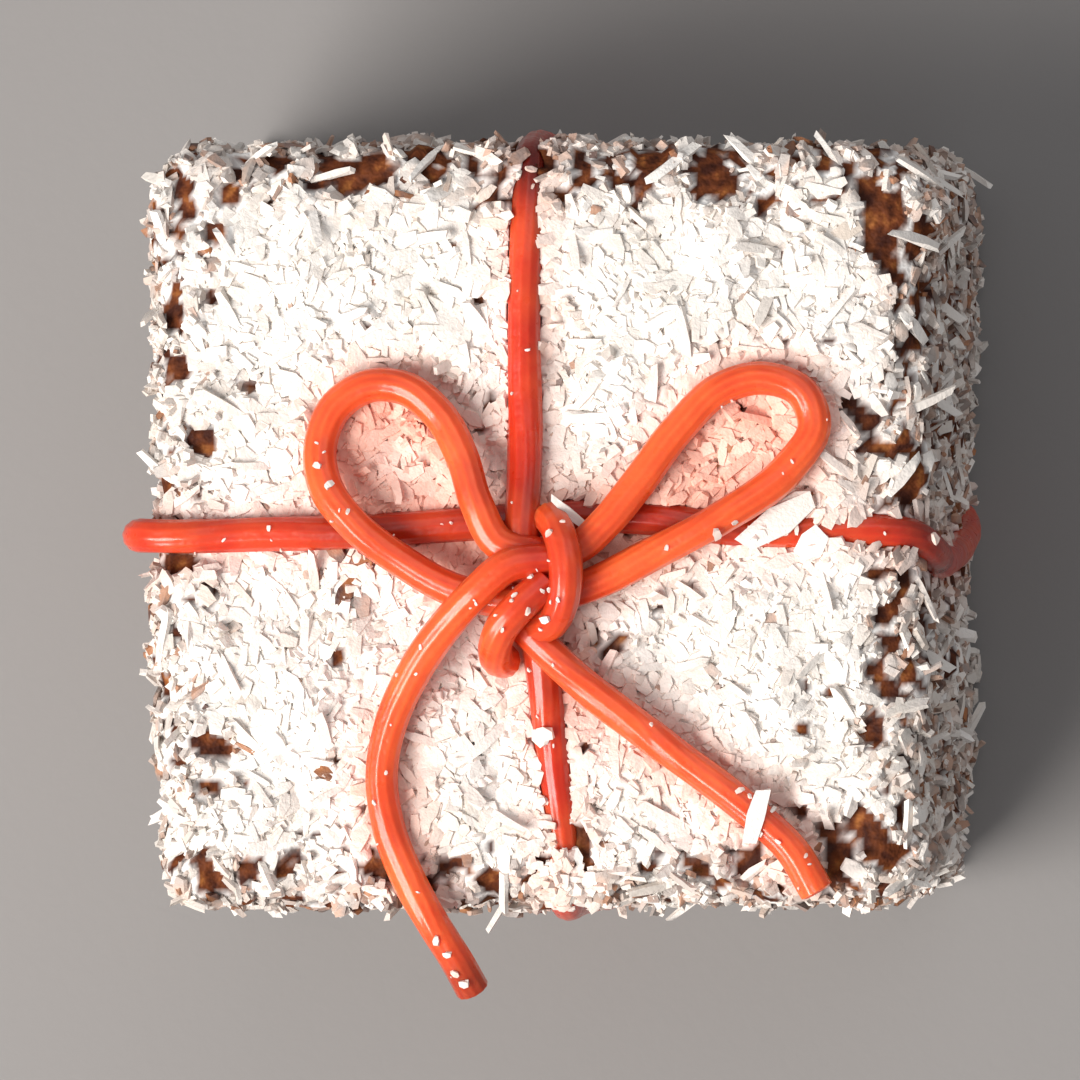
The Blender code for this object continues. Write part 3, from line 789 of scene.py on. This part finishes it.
def tied_lace():
    """The whole lace as one skin."""
    profile = ridged_profile()
    strands = [tube("strand", run, True, WRAP_STEP, profile=profile) for run in WRAPS]
    for run in BOW:
        strand = tube("strand", run, False, BOW_STEP, profile=profile)
        path = smooth_path(run, False, BOW_STEP)
        round_end(strand, path[0], path[1])
        round_end(strand, path[-1], path[-2])
        strands.append(strand)
    bpy.data.objects.remove(profile)
    lace = strands.pop(0)
    boolean(lace, strands, "UNION")
    places = corners_of(lace.data)
    trees = path_tree(WRAPS, True, 0.1), path_tree(BOW, False, 0.1)
    wrap_reach, bow_reach = (np.array([tree.find(p)[2] for p in places]) for tree in trees)
    is_bow = fade(wrap_reach - bow_reach, -0.6, 0.6)
    reach = np.minimum(wrap_reach, bow_reach)
    away = np.hypot(places[:, 0] - KNOT[0], places[:, 1] - KNOT[1])
    # the bow's tone, lowered near the knot as painted shade where its strands shade each other
    mark(lace.data, "bow", is_bow * (1 - KNOT_PAINTED_SHADE * (1 - fade(away, *KNOT_REACH))))
    # painted shade in the grooves between the ridges
    mark(lace.data, "groove_shade", fade(reach - LACE_RADIUS, -RIDGE_HEIGHT, RIDGE_HEIGHT))
    # painted shade, which the lace's material reads
    mark(lace.data, "painted_shade", painted_shade_at(places, bow_reach, is_bow))
    activate(lace)
    bpy.ops.object.shade_smooth_by_angle(angle=RIDGE_ANGLE)
    return lace


# The coconut

def flake_shape(kind, draw):
    """One piece of coconut of unit size, as corner places and triangles."""
    deselect()
    if kind == "granule":
        bpy.ops.mesh.primitive_ico_sphere_add(subdivisions=1, radius=0.5)
    else:
        bpy.ops.mesh.primitive_cube_add(size=1)
    piece = bpy.context.object
    mesh = piece.data
    if kind in ("flake", "shred"):
        lengthwise = [abs(mesh.vertices[a].co.x - mesh.vertices[b].co.x) > 0.5
                      for a, b in (edge.vertices for edge in mesh.edges)]
        bpy.ops.object.mode_set(mode="EDIT")
        bpy.ops.mesh.select_all(action="DESELECT")
        bpy.ops.mesh.select_mode(type="EDGE")
        bpy.ops.object.mode_set(mode="OBJECT")
        for edge, long in zip(mesh.edges, lengthwise):
            edge.select = long
        bpy.ops.object.mode_set(mode="EDIT")
        bpy.ops.mesh.subdivide(number_cuts=1 if kind == "flake" else 2)
        bpy.ops.object.mode_set(mode="OBJECT")
    bend, twist = draw.uniform(0.05, 0.22), draw.uniform(-0.5, 0.5)
    for vert in mesh.vertices:
        along = vert.co.x
        if kind != "granule":
            vert.co.y *= 1 - draw.uniform(0.2, 0.6) * abs(along) * 2
        vert.co.z *= 1 - 0.4 * abs(along)
        vert.co += Vector([draw.uniform(-0.09, 0.09) for _ in range(3)])
        vert.co = Matrix.Rotation(twist * along, 3, "X") @ vert.co
        if kind in ("flake", "shred"):
            vert.co.z += bend * (1 - 4 * along * along) * 1.6
    mesh.calc_loop_triangles()
    corners = np.array([vert.co for vert in mesh.vertices])
    triangles = np.array([triangle.vertices for triangle in mesh.loop_triangles])
    bpy.data.objects.remove(piece)
    return corners, triangles


def spread(block, count, top_share, rng):
    """Random places on the block: places and normals in millimetres."""
    mesh = block.data
    mesh.calc_loop_triangles()
    corners = corners_of(mesh)
    triangles = np.array([triangle.vertices for triangle in mesh.loop_triangles])
    a, b, c = (corners[triangles[:, i]] for i in range(3))
    cross = np.cross(b - a, c - a)
    area = np.maximum(np.linalg.norm(cross, axis=1), 1e-9)
    up = cross[:, 2] / area
    share = area * np.where(up > 0.7, top_share, np.where(up < -0.7, UNDER_SHARE, 1.0))
    pick = rng.choice(len(triangles), count, p=share / share.sum())
    u, v = rng.random(count), rng.random(count)
    flip = u + v > 1
    u[flip], v[flip] = 1 - u[flip], 1 - v[flip]
    places = a[pick] + u[:, None] * (b - a)[pick] + v[:, None] * (c - a)[pick]
    return places, cross[pick] / area[pick][:, None]


def frames_on(normals, headings, tilts):
    """Rotation matrices that lay a flake on each normal, turned and tipped."""
    helper = np.where(np.abs(normals[:, 2:3]) < 0.9, [[0, 0, 1.0]], [[1.0, 0, 0]])
    side = np.cross(helper, normals)
    side /= np.linalg.norm(side, axis=1)[:, None]
    other = np.cross(normals, side)
    c, s = np.cos(headings)[:, None], np.sin(headings)[:, None]
    along = side * c + other * s
    across = other * c - side * s
    ct, st = np.cos(tilts)[:, None], np.sin(tilts)[:, None]
    return np.stack((along * ct + normals * st, across, normals * ct - along * st), axis=2)


def lay_flakes(name, shapes, places, frames, sizes, looks, rng):
    """Copies of the shapes joined into one mesh, each at its own place, turn and size."""
    which = rng.integers(len(shapes), size=len(places))
    corners, triangles, owner, start = [], [], [], 0
    for index, (shape, faces) in enumerate(shapes):
        mine = np.nonzero(which == index)[0]
        local = shape[None, :, :] * sizes[mine][:, None, :]
        world = np.einsum("nij,nvj->nvi", frames[mine], local) + places[mine][:, None, :]
        world[:, :, 2] += np.maximum(LOWEST_FLAKE - world[:, :, 2].min(axis=1), 0)[:, None]
        corners.append(world.reshape(-1, 3))
        offsets = start + np.arange(len(mine))[:, None, None] * len(shape)
        triangles.append((faces[None] + offsets).reshape(-1, 3))
        owner.append(np.repeat(mine, len(shape)))
        start += len(mine) * len(shape)
    corners, triangles, owner = (np.concatenate(part) for part in (corners, triangles, owner))
    mesh = bpy.data.meshes.new(name)
    mesh.from_pydata((corners * MM).tolist(), [], triangles.tolist())
    for key, values in looks.items():
        mark(mesh, key, values[owner])
    mesh.shade_smooth()
    mesh.set_sharp_from_angle(angle=FLAKE_CREASE)
    piece = bpy.data.objects.new(name, mesh)
    bpy.context.scene.collection.objects.link(piece)
    return piece


def scatter(name, kind, block, trees):
    """One kind of coconut piece, laid all over the block."""
    count = kind["count"]
    rng, draw = np.random.default_rng(kind["seed"]), random.Random(kind["seed"])
    shapes = [flake_shape(kind["shape"], draw) for _ in range(VARIANTS)]
    seats, normals = spread(block, count, kind["top_share"], rng)
    at_edge = np.abs(normals).max(axis=1) < EDGE_SLANT
    tilts = np.radians(rng.normal(0, kind["tilt"], count)) * np.where(at_edge, EDGE_TILT, 1)
    frames = frames_on(normals, rng.uniform(0, math.tau, count), tilts)
    sizes = np.stack([rng.uniform(*span, count) for span in kind["sizes"]], axis=1)
    fluff, spacing = EDGE_FLUFF
    tufts = fluff * np.maximum(noise_at(seats, spacing, (8, 1, 4)), 0)
    tufts *= normals[:, 2] < EDGE_SLANT
    lifts = rng.uniform(*kind["lift"], count) + tufts * rng.random(count)
    places = seats + normals * lifts[:, None]
    ends, edges = (frames[:, :, i] * sizes[:, i:i + 1] * FLAKE_END for i in (0, 1))
    samples = (seats, seats + ends, seats - ends, seats + edges, seats - edges)
    bare = np.maximum.reduce([bareness(sample, BARE_SEAT) for sample in samples])
    is_stained = rng.random(count) < stained_share(seats) * kind["stained"]
    tan = (bareness(seats, TANNED_RIM) + TANNED * wear_at(seats)) * rng.random(count) ** 2
    stains = np.where(is_stained, rng.uniform(0.5, 1.0, count), np.minimum(tan, DEEPEST_TAN))
    beside = places.copy()
    beside[:, 2] = np.maximum(beside[:, 2], LACE_BENEATH)
    reach = np.array([min(tree.find(place)[2] for tree in trees) for place in beside])
    keep = (reach > LACE_RADIUS + LACE_CLEARANCE * sizes[:, 0]) & (rng.random(count) > bare)
    looks = {"shade": rng.beta(*PALENESS, count)[keep], "stain": stains[keep],
             "red_stain_and_bounce": red_stain_and_bounce_at(places[keep], *trees)}
    return lay_flakes(name, shapes, places[keep], frames[keep], sizes[keep], looks, rng)


def seats_for_strips():
    """Evenly spaced places for the largest shreds, over the top and the four sides."""
    columns, rows, levels = SEAT_CELLS
    for i, j, k in itertools.product(range(columns + 1), range(rows + 1), range(levels + 1)):
        if i in (0, columns) or j in (0, rows) or k == levels:
            yield Vector((
                (i / columns - 0.5) * CAKE_WIDTH,
                (j / rows - 0.5) * CAKE_DEPTH,
                LOWEST_SEAT + (CAKE_HEIGHT - LOWEST_SEAT) * k / levels,
            ))


def laid(up, heading, tilt):
    """The turn of a shred that lies across an upward direction, as in the part."""
    side = up.orthogonal().normalized()
    frame = Matrix((side, up.cross(side), up)).transposed()
    return frame @ Matrix.Rotation(heading, 3, "Z") @ Matrix.Rotation(tilt, 3, "Y")


def strips(name, block, trees):
    """The largest shreds, where the part has them."""
    surface = BVHTree.FromObject(block, bpy.context.evaluated_depsgraph_get())
    draw, rng = random.Random(SEED), np.random.default_rng(SEED)
    shapes = [flake_shape("shred", draw) for _ in range(VARIANTS)]
    draw.seed(SEED)
    places, frames, sizes = [], [], []
    for seat in seats_for_strips():
        jitter = Vector([draw.uniform(-SEAT_JITTER, SEAT_JITTER) for _ in range(3)])
        length, width = draw.uniform(*SHRED_LENGTH), draw.uniform(*SHRED_WIDTH)
        heading, tilt = draw.uniform(0, math.tau), math.radians(draw.uniform(*SHRED_TILT))
        place, up, _, _ = surface.find_nearest((seat + jitter) * MM)
        reach = min(tree.find(place / MM)[2] for tree in trees)
        if reach > LACE_RADIUS + STRIP_CLEARANCE * length:
            places.append(place / MM + up * 0.3)
            frames.append(laid(up, heading, tilt * 0.7))
            sizes.append((length, 0.65 * width, 0.7 * SHRED_THICKNESS))
    places = np.array(places)
    looks = {"shade": rng.beta(*PALENESS, len(places)), "stain": np.zeros(len(places)),
             "red_stain_and_bounce": red_stain_and_bounce_at(places, *trees)}
    return lay_flakes(name, shapes, places, np.array(frames), np.array(sizes), looks, rng)


def coconut_on_lace(name, lace, block):
    """The flakes, specks, dust and heaps of coconut that lie on the lace."""
    surfaces = [BVHTree.FromObject(thing, bpy.context.evaluated_depsgraph_get())
                for thing in (lace, block)]
    draw, rng = random.Random(7), np.random.default_rng(7)
    shapes = [flake_shape("flake", draw) for _ in range(VARIANTS)]
    places, frames, sizes = [], [], []
    for middle, heading, tilt, length, width in LAID_SHREDS:
        places.append(middle)
        frames.append(laid(Vector((0, 0, 1)), math.radians(heading) - LEVEL_HEADING,
                           math.radians(tilt)))
        sizes.append((length, width, 0.45))
    middles = [point for run in WRAPS + BOW for point in smooth_path(run, run in WRAPS, 0.5)
               if point.z > DUST_FROM]
    fallen = list(LACE_SPECKS)
    for i in rng.integers(len(middles), size=LACE_DUST):
        aside = rng.uniform(-LACE_RADIUS, LACE_RADIUS, 2)
        fallen.append((middles[i].x + aside[0], middles[i].y + aside[1], rng.uniform(*DUST_SIZES)))
    for middle, spread_out, count in LACE_HEAPS:
        for x, y in rng.normal(middle, spread_out, (count, 2)):
            fallen.append((x, y, rng.uniform(*HEAP_SIZES)))
    for x, y, size in fallen:
        hits = [surface.ray_cast(Vector((x, y, 60)) * MM, Vector((0, 0, -1)))
                for surface in surfaces]
        hits = [(place, up) for place, up, _, _ in hits if place and place.z > SPECKS_FROM * MM]
        if hits:
            place, up = max(hits, key=lambda hit: hit[0].z)
            places.append(place / MM + up * rng.uniform(0.0, 0.2) * size)
            frames.append(laid(up, rng.uniform(0, math.tau), rng.normal(0, 0.15)))
            sizes.append((size, size * rng.uniform(0.4, 0.8), 0.1 + size * 0.3))
    # pinkish specks on the lace: partly a real red stain, partly painted red bounce light
    red_stains_and_bounces = rng.uniform(0.0, 0.4, len(places))
    red_stains_and_bounces[:len(LAID_SHREDS)] = 0.0
    looks = {"shade": rng.uniform(0.5, 1.0, len(places)), "stain": np.zeros(len(places)),
             "red_stain_and_bounce": red_stains_and_bounces}
    return lay_flakes(name, shapes, np.array([tuple(place) for place in places]),
                      np.array(frames), np.array(sizes), looks, rng)


# Floor, light and camera

def add_floor():
    deselect()
    bpy.ops.mesh.primitive_plane_add(size=1.6, location=(0, 0, -0.0001))
    floor = bpy.context.object
    floor.name = "floor"
    floor.data.materials.append(floor_finish())


def add_light(name, place, size, power, colour):
    light = bpy.data.lights.new(name, "AREA")
    light.size = size
    light.energy = power
    light.color = colour
    lamp = bpy.data.objects.new(name, light)
    lamp.location = place
    aim = Vector((0, 0, 0.03)) - lamp.location
    lamp.rotation_euler = aim.to_track_quat("-Z", "Y").to_euler()
    bpy.context.scene.collection.objects.link(lamp)


def add_camera():
    camera = bpy.data.cameras.new("camera")
    ahead = (CAMERA_AIM - CAMERA_PLACE).normalized()
    right = ahead.cross(Vector((0, 1, 0))).normalized()
    up = right.cross(ahead)
    camera.sensor_width = 36.0
    camera.lens = camera.sensor_width * (CAMERA_AIM - CAMERA_PLACE).length / VIEW_WIDTH
    camera.clip_start = 0.01
    holder = bpy.data.objects.new("camera", camera)
    turn = Matrix((right, up, -ahead)).transposed().to_4x4()
    holder.matrix_world = Matrix.Translation(CAMERA_PLACE * MM) @ turn
    bpy.context.scene.collection.objects.link(holder)
    bpy.context.scene.camera = holder


def set_stage():
    add_floor()
    add_light("key", (-0.38, -0.26, 0.54), 0.42, 8.2, (1.0, 0.975, 0.945))
    add_light("fill", (0.20, 0.40, 0.60), 0.60, 0.9, (0.95, 0.97, 1.0))
    world = bpy.data.worlds.new("world")
    world.use_nodes = True
    background = world.node_tree.nodes["Background"]
    background.inputs["Color"].default_value = (0.94, 0.96, 1.0, 1.0)
    background.inputs["Strength"].default_value = 0.37
    bpy.context.scene.world = world
    bpy.context.scene.view_settings.view_transform = "Standard"
    add_camera()


def dress():
    coconut = coconut_finish()
    trees = path_tree(WRAPS, True, 0.5), path_tree(BOW, False, 0.5)
    block = coated_block()
    pieces = [scatter(name, kind, block, trees) for name, kind in COCONUT_KINDS.items()]
    pieces.append(strips("coconut_strips", block, trees))
    for piece in pieces:
        finish_piece(piece, piece.name, coconut, "cake")
    lace = tied_lace()
    specks = coconut_on_lace("coconut_on_lace", lace, block)
    press_in_grooves(block, trees)
    finish_piece(block, "chocolate_coat", chocolate_finish(), "cake")
    finish_piece(specks, specks.name, coconut, "lace")
    finish_piece(lace, "tied_lace", lace_finish(), "lace")


dress()
set_stage()
